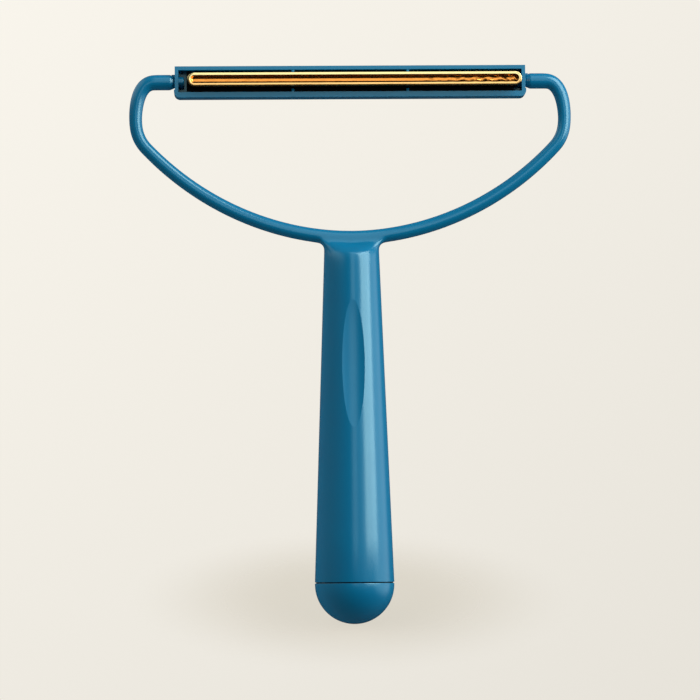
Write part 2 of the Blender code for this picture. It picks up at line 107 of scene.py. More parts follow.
class Shape:
    """A mesh on the bench, modelled with Blender's own operators."""

    def __init__(self, name: str) -> None:
        """Takes over the primitive that was added last.

        Args:
            name: What the shape is called.
        """
        self.object = bpy.context.active_object
        self.object.name = name
        self.object.data.name = name
        self.apply_place()

    def make_active(self) -> None:
        """Selects this shape alone."""
        bpy.ops.object.select_all(action="DESELECT")
        self.object.select_set(True)
        bpy.context.view_layer.objects.active = self.object

    def apply_place(self) -> None:
        """Moves the object's place, turn and scale into its mesh."""
        self.make_active()
        bpy.ops.object.transform_apply(location=True, rotation=True, scale=True)

    @contextmanager
    def editing(self) -> Iterator[None]:
        """Edit mode on this shape, with nothing selected at first.

        Yields:
            Once, while edit mode is on.
        """
        self.make_active()
        bpy.ops.object.mode_set(mode="EDIT")
        bpy.ops.mesh.select_all(action="DESELECT")
        yield
        bpy.ops.object.mode_set(mode="OBJECT")

    def select_all(self) -> None:
        """Selects the whole mesh, in edit mode."""
        bpy.ops.mesh.select_all(action="SELECT")

    def pick(self, kind: Kind, test: Callable[[Any], bool]) -> int:
        """Selects, in edit mode, the elements that pass a test and nothing else.

        Args:
            kind: Vertices, edges or faces.
            test: Takes a bmesh element and says whether it is wanted.

        Returns:
            How many are selected.
        """
        bpy.ops.mesh.select_all(action="DESELECT")
        bpy.ops.mesh.select_mode(type=kind.value)
        mesh = bmesh.from_edit_mesh(self.object.data)
        elements = {Kind.VERTEX: mesh.verts, Kind.EDGE: mesh.edges, Kind.FACE: mesh.faces}[kind]
        chosen = [element for element in elements if test(element)]
        for element in chosen:
            element.select_set(True)
        mesh.select_flush_mode()
        bmesh.update_edit_mesh(self.object.data)
        return len(chosen)

    def pick_edges(self, ends_test: Callable[[Vector], bool],
                   edge_test: Callable[[bmesh.types.BMEdge], bool] = lambda edge: True) -> int:
        """Selects the edges that pass a test and whose two ends pass another.

        Args:
            ends_test: Takes an end's place and says whether it is wanted.
            edge_test: Takes an edge and says whether it is wanted.

        Returns:
            How many edges are selected.
        """
        return self.pick(
            Kind.EDGE, lambda edge: edge_test(edge) and all(ends_test(end.co) for end in edge.verts))

    def pick_rim(self, test: Callable[[Vector], bool]) -> int:
        """Selects the open edges whose two ends pass a test."""
        return self.pick_edges(test, lambda edge: edge.is_boundary)

    def push(self, way: Vector | tuple[float, float, float]) -> None:
        """Extrudes what is selected and moves it."""
        bpy.ops.mesh.extrude_region_move(TRANSFORM_OT_translate={"value": way})

    def carry_ring(self, start: RingStep, steps: list[RingStep]) -> None:
        """Extrudes the selected ring about Z through steps, as a turned shape.

        Args:
            start: The ring's radius and height.
            steps: The radius and height of each ring that follows.
        """
        radius, height = start
        for next_radius, next_height in steps:
            self.push((0.0, 0.0, next_height - height))
            share = next_radius / radius
            middle = (0.0, 0.0, next_height)
            bpy.ops.transform.resize(value=(share, share, 1.0), center_override=middle)
            radius, height = next_radius, next_height

    def bevel(self, width: float, segments: int) -> None:
        """Rounds the selected edges.

        Args:
            width: How far the round reaches from each edge.
            segments: How many strips make the round.
        """
        bpy.ops.mesh.bevel(offset=width, offset_type="OFFSET", segments=segments, clamp_overlap=True)

    def cut_plane(self, axis: int, place: float) -> None:
        """Cuts the whole mesh along a plane square to an axis, without removing anything.

        Args:
            axis: 0, 1 or 2 for X, Y or Z.
            place: Where the plane crosses that axis.
        """
        self.select_all()
        normal = Vector((0.0, 0.0, 0.0))
        normal[axis] = 1.0
        bpy.ops.mesh.bisect(plane_co=normal * place, plane_no=normal)

    def apply_modifier(self, kind: str, settings: dict[str, Any]) -> None:
        """Adds a modifier and applies it.

        Args:
            kind: The modifier's type.
            settings: Its properties.
        """
        self.make_active()
        bpy.ops.object.modifier_add(type=kind)
        modifier = self.object.modifiers[-1]
        for key, value in settings.items():
            setattr(modifier, key, value)
        bpy.ops.object.modifier_apply(modifier=modifier.name)

    def subdivide(self, levels: int) -> None:
        """Finishes the cage with a subdivision surface of some levels."""
        self.apply_modifier("SUBSURF", {"levels": levels, "render_levels": levels})

    def combine(self, tool: "Shape", join: Join) -> None:
        """Adds another closed shape to this one or cuts it away, and deletes the other.

        Args:
            tool: The other shape.
            join: Whether it is added or cut away.
        """
        self.apply_modifier("BOOLEAN", {
            "operation": join.value, "object": tool.object, "material_mode": "TRANSFER"})
        bpy.data.objects.remove(tool.object)

    def merge_flat(self) -> None:
        """Merges neighbouring faces that lie flat, in edit mode."""
        self.select_all()
        bpy.ops.mesh.dissolve_limited(angle_limit=math.radians(1.0))

    def face_outwards(self) -> None:
        """Merges doubles and turns every face outwards."""
        with self.editing():
            self.select_all()
            bpy.ops.mesh.remove_doubles(threshold=0.001 * MM)
            bpy.ops.mesh.normals_make_consistent(inside=False)

    def smooth(self, sharp_over: float = 32.0) -> None:
        """Shades the shape smooth, with edges sharp over an angle.

        Args:
            sharp_over: The angle in degrees.
        """
        self.make_active()
        bpy.ops.object.shade_smooth_by_angle(angle=math.radians(sharp_over), keep_sharp_edges=True)

    def flatten_faces(self) -> None:
        """Lets large flat faces shade flat beside rounded edges."""
        self.apply_modifier("WEIGHTED_NORMAL", {"keep_sharp": True})

    def hand_over(self, body: Body, node: str, slot: str, material: bpy.types.Material) -> None:
        """Dresses the finished piece, sets it on its body, hides its CAD node and logs its triangles.

        Args:
            body: The body that it rides on.
            node: The CAD node that it stands for.
            slot: The record's material slot. Not used.
            material: Its finish.
        """
        self.object.data.materials.clear()
        self.object.data.materials.append(material)
        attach(self.object, body.value)
        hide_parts(node)
        mesh = self.object.data
        mesh.calc_loop_triangles()
        LOG.info("%s: %d triangles on %s", self.object.name, len(mesh.loop_triangles), body.value)


def box_shape(name: str, low: Vector, high: Vector, rounded: float = 0.0) -> Shape:
    """A box between two corners, as a start for a shape.

    Args:
        name: What the shape is called.
        low: Its lowest corner.
        high: Its highest corner.
        rounded: How far the rounding of its edges reaches.

    Returns:
        The new shape.
    """
    bpy.ops.mesh.primitive_cube_add(size=1.0, location=(low + high) / 2, scale=high - low)
    shape = Shape(name)
    if rounded:
        with shape.editing():
            shape.select_all()
            shape.bevel(rounded, 3)
    return shape


def middle_and_half(low: Vector, high: Vector) -> tuple[Vector, Vector]:
    """The middle of a box and half of its size, from its corners."""
    return (low + high) / 2, (high - low) / 2


def quarter_round(centre: RingStep, radius: float, start: float, end: float, count: int) -> list[RingStep]:
    """Points along an arc in a turned section, without its first point.

    Args:
        centre: The arc's centre as radius and height.
        radius: The arc's radius.
        start: The angle in degrees that it starts from.
        end: The angle in degrees that it ends at.
        count: How many steps it has.

    Returns:
        The points as radius and height.
    """
    angles = [math.radians(start + (end - start) * i / count) for i in range(1, count + 1)]
    return [(centre[0] + radius * math.cos(a), centre[1] + radius * math.sin(a)) for a in angles]


@dataclass
class Nodes:
    """Builds the nodes of a material or of the world, from an empty tree."""

    owner: bpy.types.Material | bpy.types.World

    def __post_init__(self) -> None:
        """Empties the tree."""
        self.owner.use_nodes = True
        self.owner.node_tree.nodes.clear()

    def add(self, kind: str, values: dict[str | int, Any], **settings: str) -> bpy.types.Node:
        """Adds a node with its values, links and settings.

        Args:
            kind: The node's type name without its "ShaderNode" start.
            values: For each input, a value, a hex colour, or the output or node that feeds it. A node
                feeds it from the first output that it has in use.
            settings: The node's properties.

        Returns:
            The new node.
        """
        made = self.owner.node_tree.nodes.new("ShaderNode" + kind)
        for key, value in settings.items():
            setattr(made, key, value)
        for key, value in values.items():
            if isinstance(value, bpy.types.Node):
                value = next(output for output in value.outputs if output.enabled)
            if isinstance(value, Socket):
                self.owner.node_tree.links.new(value, made.inputs[key])
            else:
                made.inputs[key].default_value = linear(value) if isinstance(value, str) else value
        return made


@dataclass(frozen=True)
class SatinMoulding:
    """Moulded ABS with a satin gloss, through-coloured petrol blue.

    To the eye it is an even, saturated blue with one soft highlight along each round form.
    The mould's polish leaves fine waves that soften the highlight's edge. Handling leaves faint
    patches of more and less gloss and dulls the grip downwards. A painted shade line, dark and
    rough, stands in for the shade in the narrow seam above the end cap.
    """

    seam_z: float
    colour: str = "#08678b"
    deep_colour: str = "#076086"
    seam_shade_colour: str = "#03161f"
    seam_half: float = 0.19 * MM
    roughness: float = 0.212
    roughness_spread: float = 0.025
    patch_range: tuple[float, float] = (0.15, 0.85)
    dulled: float = 0.035
    dulled_below: float = 120.0 * MM
    patch_size: float = 9.0 * MM
    ripple_size: float = 2.5 * MM
    ripple_height: float = 0.0015 * MM
    refraction: float = 1.57
    gloss_tint: str = "#d0ffff"

    def make(self) -> bpy.types.Material:
        """Builds the finish.

        Returns:
            The material.
        """
        nodes = Nodes(bpy.data.materials.new("petrol_blue_abs"))
        place = nodes.add("TexCoord", {}).outputs["Object"]
        height = nodes.add("SeparateXYZ", {"Vector": place}).outputs["Z"]
        patches = nodes.add("TexNoise", {"Vector": place, "Scale": 1 / self.patch_size, "Detail": 3.0})
        ripples = nodes.add("TexNoise", {"Vector": place, "Scale": 1 / self.ripple_size, "Detail": 2.0})
        # Painted shade: a thin band at the seam's height is painted dark and made rough, standing in for
        # the shade in the slit.
        in_seam_shade = nodes.add("Math", {0: height, 1: self.seam_z, 2: self.seam_half}, operation="COMPARE")
        clean = nodes.add("Mix", {
            "Factor": patches, "A": self.colour, "B": self.deep_colour}, data_type="RGBA")
        colour = nodes.add("Mix", {"Factor": in_seam_shade, "A": clean, "B": self.seam_shade_colour}, data_type="RGBA")
        polish = nodes.add("MapRange", {
            "Value": patches, "From Min": self.patch_range[0], "From Max": self.patch_range[1],
            "To Min": self.roughness - self.roughness_spread,
            "To Max": self.roughness + self.roughness_spread,
        })
        handled = nodes.add("MapRange", {
            "Value": height, "From Max": self.dulled_below, "To Min": self.dulled, "To Max": 0.0})
        worn = nodes.add("Math", {0: polish, 1: handled}, operation="ADD")
        roughness = nodes.add("Math", {0: worn, 1: in_seam_shade}, operation="MAXIMUM")
        relief = nodes.add("Bump", {"Height": ripples, "Strength": 1.0, "Distance": self.ripple_height})
        shader = nodes.add("BsdfPrincipled", {
            "Base Color": colour, "Roughness": roughness, "IOR": self.refraction,
            "Specular Tint": self.gloss_tint, "Normal": relief,
        })
        nodes.add("OutputMaterial", {"Surface": shader})
        return nodes.owner


@dataclass(frozen=True)
class MattMoulding:
    """Black moulded plastic with a fine spark-eroded grain.

    To the eye it is a flat black. Its near-black colour is partly the insert's own black and partly
    painted shade for the deep gap between the blade and the lips.
    """

    # Partly the plastic's own black, partly painted shade for the gap around the blade.
    colour: str = "#040405"
    roughness: float = 0.6
    roughness_spread: float = 0.08
    grain_range: tuple[float, float] = (0.3, 0.7)
    specular: float = 0.07
    grain_size: float = 0.25 * MM
    grain_height: float = 0.01 * MM
    refraction: float = 1.5

    def make(self) -> bpy.types.Material:
        """Builds the finish.

        Returns:
            The material.
        """
        nodes = Nodes(bpy.data.materials.new("black_plastic_and_painted_shade"))
        place = nodes.add("TexCoord", {}).outputs["Object"]
        grain = nodes.add("TexNoise", {"Vector": place, "Scale": 1 / self.grain_size, "Detail": 4.0})
        roughness = nodes.add("MapRange", {
            "Value": grain, "From Min": self.grain_range[0], "From Max": self.grain_range[1],
            "To Min": self.roughness - self.roughness_spread,
            "To Max": self.roughness + self.roughness_spread,
        })
        relief = nodes.add("Bump", {"Height": grain, "Strength": 1.0, "Distance": self.grain_height})
        shader = nodes.add("BsdfPrincipled", {
            "Base Color": self.colour, "Roughness": roughness, "IOR": self.refraction,
            "Specular IOR Level": self.specular, "Normal": relief,
        })
        nodes.add("OutputMaterial", {"Surface": shader})
        return nodes.owner


@dataclass(frozen=True)
class PressedBrass:
    """Bright brass strip, pressed into a trough and tumbled.

    To the eye the upper rim is nearly white gold, the lower rim is a warmer gold, and the trough is a
    deeper copper gold with random stains. The rim's paler colours are a painted highlight, brighter on
    the upper rim than on the lower one, as if it were lit more. Rolling left fine lines along its length.
    """

    middle_z: float
    upper_rim_highlight_colour: str = "#f4e29e"
    lower_rim_dim_colour: str = "#f4c67c"
    rim_change: float = 1.0 * MM
    trough_colour: str = "#e99f4c"
    stained_colour: str = "#d98634"
    rim_y: float = -6.6 * MM
    trough_y: float = -6.2 * MM
    roughness: float = 0.17
    line_pitch: float = 0.12 * MM
    line_length: float = 6.0 * MM
    line_height: float = 0.003 * MM
    line_range: tuple[float, float] = (0.3, 0.7)
    line_gloss: tuple[float, float] = (-0.04, 0.06)
    stain_size: float = 3.0 * MM

    def make(self) -> bpy.types.Material:
        """Builds the finish.

        Returns:
            The material.
        """
        nodes = Nodes(bpy.data.materials.new("pressed_brass"))
        place = nodes.add("TexCoord", {}).outputs["Object"]
        parts = nodes.add("SeparateXYZ", {"Vector": place}).outputs
        along = nodes.add("Mapping", {
            "Vector": place, "Scale": (1 / self.line_length, 1 / self.line_pitch, 1 / self.line_pitch)})
        lines = nodes.add("TexNoise", {"Vector": along, "Scale": 1.0, "Detail": 3.0})
        stains = nodes.add("TexNoise", {"Vector": place, "Scale": 1 / self.stain_size, "Detail": 3.0})
        tarnish = nodes.add("Mix", {
            "Factor": stains, "A": self.trough_colour, "B": self.stained_colour}, data_type="RGBA")
        # Painted highlight: the rim is painted paler than the trough, and the upper rim paler than the
        # lower one.
        rim_highlight_share = nodes.add("MapRange", {
            "Value": parts["Y"], "From Min": self.trough_y, "From Max": self.rim_y,
        }, interpolation_type="SMOOTHSTEP")
        lower = nodes.add("MapRange", {
            "Value": parts["Z"], "From Min": self.middle_z + self.rim_change,
            "From Max": self.middle_z - self.rim_change,
        }, interpolation_type="SMOOTHSTEP")
        rim = nodes.add("Mix", {
            "Factor": lower, "A": self.upper_rim_highlight_colour, "B": self.lower_rim_dim_colour}, data_type="RGBA")
        colour = nodes.add("Mix", {"Factor": rim_highlight_share, "A": tarnish, "B": rim}, data_type="RGBA")
        roughness = nodes.add("MapRange", {
            "Value": lines, "From Min": self.line_range[0], "From Max": self.line_range[1],
            "To Min": self.roughness + self.line_gloss[0], "To Max": self.roughness + self.line_gloss[1],
        })
        relief = nodes.add("Bump", {"Height": lines, "Strength": 1.0, "Distance": self.line_height})
        shader = nodes.add("BsdfPrincipled", {
            "Base Color": colour, "Metallic": 1.0, "Roughness": roughness, "Normal": relief})
        nodes.add("OutputMaterial", {"Surface": shader})
        return nodes.owner


class Piece:
    """A piece of the object, which can model itself and dress itself."""

    body: Body
    node: str
    slot: str

    def model(self) -> Shape:
        """Models the piece.

        Returns:
            Its finished shape.
        """
        raise NotImplementedError

    def build(self, material: bpy.types.Material) -> None:
        """Models the piece and hands it over in its finish.

        Args:
            material: The finish.
        """
        self.model().hand_over(self.body, self.node, self.slot, material)


@dataclass
class BowHandle(Piece):
    """The handle, the bow and the spigots on the bow's ends, moulded in one piece.

    Lengths are in metres and angles in degrees. The bow's bar follows three curves: the sweep from
    the middle of the bow to the bend, the side up to the widest place, and the corner round to the
    stub at the head. A pull is how far a curve's control point stands from its end. The cage is the
    coarse mesh that is subdivided into the handle's top, the dome under the bow and the bar.
    """

    body = Body.HANDLE
    node = "bow_handle"
    slot = "blue_plastic"
    top_radius: float = 8.2 * MM
    straight_height: float = 101.33 * MM
    dome_height: float = 3.3 * MM
    wall: float = 3.5 * MM
    crown: float = 10.0 * MM
    plug_length: float = 7.0 * MM
    seam_round: float = 0.12 * MM
    bottom_bar: float = 2.12 * MM
    side_bar: float = 1.95 * MM
    end_bar: float = 2.35 * MM
    overhang: float = 11.48 * MM
    widest_below_axis: float = 11.3 * MM
    stub: float = 5.7 * MM
    shoulder: float = 0.9 * MM
    bend_start: tuple[float, float] = (3.28 * MM, 9.02 * MM)
    bend_lean: float = 43.3
    bottom_pull: float = 21.7 * MM
    sweep_pull: float = 25.3 * MM
    bend_pull: float = 2.8 * MM
    pull_down: float = 4.4 * MM
    pull_up: float = 4.8 * MM
    corner_pull: float = 4.6 * MM
    spigot: float = 1.7 * MM
    spigot_inset: float = 1.25 * MM
    key_width: float = 1.0 * MM
    key_height: float = 0.65 * MM
    key_round: float = 0.1 * MM
    key_inset: float = 1.35 * MM
    recess_length: float = 38.6 * MM
    recess_width: float = 6.8 * MM
    recess_hollow: float = 16.5 * MM
    recess_from_foot: float = 65.8 * MM
    recess_cutter_reach: tuple[float, float] = (1.5, 1.25)
    recess_cutter_height: float = 4.0 * MM
    recess_cutter_cells: tuple[int, int] = (56, 120)
    flare: float = 1.8 * MM
    dome_squeeze: float = 0.2
    dome_fall: float = 1.0 * MM
    dome_reach: float = 3.5 * MM
    bridge_depth: float = 4.0 * MM
    bridge_cuts: int = 3
    bridge_smoothness: float = 0.7
    cage_depth: float = 18.0 * MM
    cage_rise: float = 8.0 * MM
    cage_below_top: tuple[float, float] = (2.2 * MM, 0.6 * MM)
    cage_sides: int = 30
    bar_sides: int = 8
    top_rings: int = 6
    halvings: int = 40
    foot_rings: int = 6
    levels: int = 3
    foot_radius: float = field(init=False)
    foot_z: float = field(init=False)
    crown_z: float = field(init=False)
    neck_x: float = field(init=False)
    spigot_end: float = field(init=False)

    def __post_init__(self) -> None:
        """Reads the places that the frame gives."""
        self.foot_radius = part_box("end_cap")[1].x
        self.foot_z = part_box("bow_handle")[0].z
        self.crown_z = self.foot_z + self.straight_height + self.dome_height
        self.neck_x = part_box("head_housing")[1].x + TOUCH_GAP
        self.spigot_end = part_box("blade_carrier")[1].x - self.spigot_inset

    def radius_at(self, z: float) -> float:
        """The handle's outside radius at a height."""
        share = (z - self.foot_z) / (self.straight_height + self.dome_height)
        return self.foot_radius + (self.top_radius - self.foot_radius) * share

    @staticmethod
    def cage_factor(sides: int) -> float:
        """How much a round cage of some sides shrinks when it is subdivided."""
        return (4 + 2 * math.cos(2 * math.pi / sides)) / 6

    @staticmethod
    def along(ends: list[Vector], share: float) -> Vector:
        """The place on a cubic curve of four control points.

        Args:
            ends: The control points.
            share: How far along the curve, from 0 to 1.

        Returns:
            The place.
        """
        rest = 1 - share
        weights = (rest ** 3, 3 * rest ** 2 * share, 3 * rest * share ** 2, share ** 3)
        return sum((point * weight for point, weight in zip(ends, weights)), Vector((0.0, 0.0)))

    def share_at(self, ends: list[Vector], x: float) -> float:
        """How far along a curve of four control points it comes to an X, by halving.

        Args:
            ends: The control points, from left to right.
            x: The X.

        Returns:
            The share of the curve, from 0 to 1.
        """
        low, high = 0.0, 1.0
        for _ in range(self.halvings):
            middle = (low + high) / 2
            low, high = (middle, high) if self.along(ends, middle).x < x else (low, middle)
        return low

    def arm_points(self) -> list[tuple[float, float, float]]:
        """The right arm's rings, from beside the middle to the spigot's end.

        Returns:
            The X, Z and radius of each ring.
        """
        widest = Vector((self.neck_x + self.overhang, SWIVEL_Z - self.widest_below_axis))
        bend = widest - Vector(self.bend_start)
        lean = math.radians(self.bend_lean)
        rising = Vector((math.sin(lean), math.cos(lean)))
        stub = Vector((self.neck_x + self.stub, SWIVEL_Z))
        bottom = Vector((0.0, self.crown_z))
        sweep = [bottom, bottom + Vector((self.bottom_pull, 0)), bend - rising * self.sweep_pull, bend]
        side = [bend, bend + rising * self.bend_pull, widest - Vector((0, self.pull_down)), widest]
        corner = [widest, widest + Vector((0, self.pull_up)), stub + Vector((self.corner_pull, 0)), stub]
        reach, count = self.top_radius + self.flare, self.top_rings
        shares = [self.share_at(sweep, ring * reach / count) for ring in range(1, count + 1)]
        points = [(*self.along(sweep, share), self.bottom_bar) for share in shares]
        for ends, start, count, thick, thin in (
            (sweep, shares[-1], 24, self.bottom_bar, self.side_bar),
            (side, 0.0, 8, self.side_bar, self.side_bar),
            (corner, 0.0, 12, self.side_bar, self.end_bar),
        ):
            for step in range(1, count + 1):
                share = step / count
                place = self.along(ends, start + (1 - start) * share)
                points.append((*place, thick + (thin - thick) * share))
        shoulder_x = self.neck_x + self.shoulder
        neck_radius = self.spigot + 0.25 * MM
        points += [
            (x, SWIVEL_Z, radius) for x, radius in (
                (self.neck_x + 3.2 * MM, self.end_bar), (shoulder_x + 0.5 * MM, self.end_bar),
                (shoulder_x, self.end_bar), (self.neck_x + 0.35 * MM, neck_radius + 0.1 * MM),
                (self.neck_x, neck_radius), (self.neck_x - 0.1 * MM, neck_radius),
                (self.neck_x - 0.3 * MM, self.spigot), (self.neck_x - 1.4 * MM, self.spigot),
                (self.spigot_end + 0.6 * MM, self.spigot), (self.spigot_end + 0.2 * MM, self.spigot),
                (self.spigot_end, self.spigot - 0.2 * MM),
            )
        ]
        return points

    def make_bar_cage(self) -> Shape:
        """The bow's bar as a cage of eight sides, open at both ends.

        Returns:
            The cage.
        """
        right = self.arm_points()
        middle = (0.0, self.crown_z, self.bottom_bar)
        route = [(-x, z, r) for x, z, r in reversed(right)] + [middle] + right
        bpy.ops.curve.primitive_bezier_curve_add()
        curve = bpy.context.active_object.data
        curve.dimensions = "3D"
        curve.splines.clear()
        curve.bevel_depth = 1.0
        curve.bevel_resolution = (self.bar_sides - 4) // 2
        spline = curve.splines.new("POLY")
        spline.points.add(len(route) - 1)
        for point, (x, z, radius) in zip(spline.points, route):
            point.co = (x, 0.0, z, 1.0)
            point.radius = radius / self.cage_factor(self.bar_sides)
            point.tilt = math.pi / self.bar_sides
        bpy.ops.object.convert(target="MESH")
        return Shape("bow_handle")

    def make_handle_cage(self) -> Shape:
        """The top of the handle as an open tube that the bow's bar is bridged to.

        Returns:
            The cage.
        """
        start = self.crown_z - self.cage_depth
        top = self.crown_z - self.dome_height
        heights = [start + self.cage_rise, *(top - below for below in self.cage_below_top)]
        factor = self.cage_factor(self.cage_sides)
        first = (self.radius_at(start) / factor, start)
        bpy.ops.mesh.primitive_circle_add(
            vertices=self.cage_sides, radius=first[0], location=(0.0, 0.0, start),
        )
        shape = Shape("handle_cage")
        with shape.editing():
            shape.pick(Kind.EDGE, lambda edge: True)
            shape.carry_ring(first, [(self.radius_at(z) / factor, z) for z in heights])
        for vertex in shape.object.data.vertices:
            rise = max(0.0, (vertex.co.z - top) / self.dome_reach + 1) ** 2
            forward = (vertex.co.y / self.top_radius) ** 2
            vertex.co.y *= 1 - self.dome_squeeze * rise
            vertex.co.z -= self.dome_fall * rise * forward
        return shape

    def bridge(self, bar: Shape, handle: Shape) -> None:
        """Opens the bar's underside over the handle and bridges the handle's top to the opening.

        Args:
            bar: The bow's cage.
            handle: The handle's cage, which becomes part of it.
        """
        reach = self.top_radius + self.flare
        with bar.editing():
            bar.pick(Kind.FACE, lambda face: abs(face.calc_center_median().x) < reach
                     and face.normal.z < -0.3)
            bpy.ops.mesh.delete(type="FACE")
        bar.make_active()
        handle.object.select_set(True)
        bpy.ops.object.join()
        top = self.crown_z - self.dome_height
        with bar.editing():
            bar.pick_rim(lambda place: abs(place.x) < reach + 1.0 * MM
                         and place.z > top - self.bridge_depth)
            bpy.ops.mesh.bridge_edge_loops(
                type="SINGLE", number_cuts=self.bridge_cuts, interpolation="SURFACE",
                smoothness=self.bridge_smoothness,
            )

    def carry_foot(self, shape: Shape) -> None:
        """Carries the handle down to the seam, round its edge and up its bore.

        Args:
            shape: The bow and the handle's top, subdivided.
        """
        start = self.crown_z - self.cage_depth
        socket = self.foot_radius - self.wall
        shoulder = self.foot_z + self.plug_length + TOUCH_GAP
        bore_top = self.crown_z - self.crown
        thickness = self.wall + TOUCH_GAP
        drop = start - self.foot_z - self.seam_round
        fall = [start - drop * ring / self.foot_rings for ring in range(1, self.foot_rings + 1)]
        steps = [(self.radius_at(z), z) for z in fall]
        steps[-1] = (self.foot_radius, fall[-1])
        corner = (self.foot_radius - self.seam_round, self.foot_z + self.seam_round)
        steps += quarter_round(corner, self.seam_round, 0, -90, 4)
        steps += [
            (socket, self.foot_z), (socket, shoulder),
            (self.radius_at(shoulder) - thickness, shoulder),
            (self.radius_at(bore_top) - thickness, bore_top),
        ]
        with shape.editing():
            shape.pick_rim(lambda place: place.z < start + 1.0 * MM)
            shape.carry_ring((self.radius_at(start), start), steps)
            bpy.ops.mesh.edge_face_add()
            for side in (-1, 1):
                shape.pick_rim(lambda place: place.x * side > self.spigot_end - 1.0 * MM)
                bpy.ops.mesh.edge_face_add()

    def make_recess_cutter(self) -> Shape:
        """A fine patch of the long barrel shape that scoops out the thumb recess, with its back closed.

        Returns:
            The cutter.
        """
        middle_z = self.foot_z + self.recess_from_foot
        half_width, half_length = self.recess_width / 2, self.recess_length / 2
        radius = self.radius_at(middle_z)
        depth = sum(r - math.sqrt(r ** 2 - half_width ** 2) for r in (radius, self.recess_hollow))
        stave = (half_length ** 2 + depth ** 2) / (2 * depth)
        lean = math.atan2(self.foot_radius - self.top_radius, self.straight_height + self.dome_height)
        outward = Vector((0.0, -math.cos(lean), math.sin(lean)))
        upward = Vector((0.0, math.sin(lean), math.cos(lean)))
        floor = Vector((0.0, -radius, middle_z)) - outward * depth
        across, up = self.recess_cutter_cells
        bpy.ops.mesh.primitive_grid_add(x_subdivisions=across, y_subdivisions=up, size=1.0)
        shape = Shape("recess_cutter")
        wide, long = self.recess_cutter_reach
        shape.object.scale = (self.recess_width * wide, self.recess_length * long, 1.0)
        shape.apply_place()
        for vertex in shape.object.data.vertices:
            across, up = vertex.co.x, vertex.co.y
            swell = self.recess_hollow - stave + math.sqrt(stave ** 2 - up ** 2)
            rise = self.recess_hollow - math.sqrt(swell ** 2 - across ** 2)
            vertex.co = floor + outward * rise + upward * up + Vector((across, 0.0, 0.0))
        with shape.editing():
            shape.select_all()
            shape.push(outward * self.recess_cutter_height)
        shape.face_outwards()
        return shape

    def cut_recess(self, shape: Shape) -> None:
        """Scoops out the thumb recess and keeps its edge crisp.

        Args:
            shape: The piece.
        """
        cutter = self.make_recess_cutter()
        for target, label in ((shape, "outside"), (cutter, "scooped")):
            target.object.data.materials.clear()
            target.object.data.materials.append(bpy.data.materials.new(label))
        shape.combine(cutter, Join.CUT)
        with shape.editing():
            shape.pick(Kind.EDGE, lambda edge: len(edge.link_faces) == 2
                       and edge.link_faces[0].material_index != edge.link_faces[1].material_index)
            bpy.ops.mesh.mark_sharp()
        for face in shape.object.data.polygons:
            face.material_index = 0

    def add_keys(self, shape: Shape) -> None:
        """Adds the stop key on each spigot, inside the head's end walls.

        Args:
            shape: The piece.
        """
        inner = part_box("head_housing")[1].x - self.key_inset
        outer = self.neck_x + self.shoulder / 2
        for side in (-1, 1):
            ends = sorted((side * inner, side * outer))
            key = box_shape(
                "key", Vector((ends[0], -self.key_width / 2, SWIVEL_Z)),
                Vector((ends[1], self.key_width / 2, SWIVEL_Z + self.spigot + self.key_height)),
                rounded=self.key_round,
            )
            shape.combine(key, Join.ADD)

    def model(self) -> Shape:
        """The whole piece, from the bow's cage and the handle's cage.

        Returns:
            Its finished shape.
        """
        shape = self.make_bar_cage()
        self.bridge(shape, self.make_handle_cage())
        shape.subdivide(self.levels)
        self.carry_foot(shape)
        shape.face_outwards()
        self.add_keys(shape)
        self.cut_recess(shape)
        shape.smooth()
        return shape


@dataclass
class EndCap(Piece):
    """The round cap that closes the handle's foot."""

    body = Body.HANDLE
    node = "end_cap"
    slot = "blue_plastic"
    lip_round: float = 0.12 * MM
    wall: float = 2.6 * MM
    seal_inset: float = 0.35 * MM
    seal_gap: float = 0.002 * MM
    plug_inset: float = 3.8 * MM
    plug_wall: float = 1.6 * MM
    hollow_end: float = -88.0
    hollow_steps: int = 12
    segments: int = 192

    def rings(self, radius: float, top: float) -> list[RingStep]:
        """The turned section from the cap's widest ring over its lip and plug to its hollow.

        Args:
            radius: The cap's radius.
            top: The height of the plug's end.

        Returns:
            Radius and height of each ring.
        """
        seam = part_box("bow_handle")[0].z - TOUCH_GAP
        corner = (radius - self.lip_round, seam - self.lip_round)
        plug = radius - self.plug_inset
        bore = plug - self.plug_wall
        hollow = radius - self.wall
        reach = math.degrees(math.asin(bore / hollow))
        step = seam + TOUCH_GAP - self.seal_gap
        return [
            (radius, corner[1]), *quarter_round(corner, self.lip_round, 0, 90, 4),
            (radius - self.seal_inset, seam), (radius - self.seal_inset, step),
            (plug, step), (plug, top), (bore, top),
            (bore, radius - hollow * math.cos(math.radians(reach))),
            *quarter_round((0.0, radius), hollow, -90 + reach, self.hollow_end, self.hollow_steps),
        ]

    def model(self) -> Shape:
        """The whole piece, from the lower half of a sphere.

        Returns:
            Its finished shape.
        """
        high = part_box("end_cap")[1]
        radius = high.x
        bpy.ops.mesh.primitive_uv_sphere_add(
            segments=self.segments, ring_count=self.segments // 2, radius=radius,
            location=(0.0, 0.0, radius),
        )
        shape = Shape("end_cap")
        with shape.editing():
            shape.pick(Kind.VERTEX, lambda vertex: vertex.co.z > radius + SMALL)
            bpy.ops.mesh.delete(type="VERT")
            shape.pick_rim(lambda place: True)
            shape.carry_ring((radius, radius), self.rings(radius, high.z))
            bpy.ops.mesh.edge_face_add()
        shape.face_outwards()
        shape.smooth()
        return shape


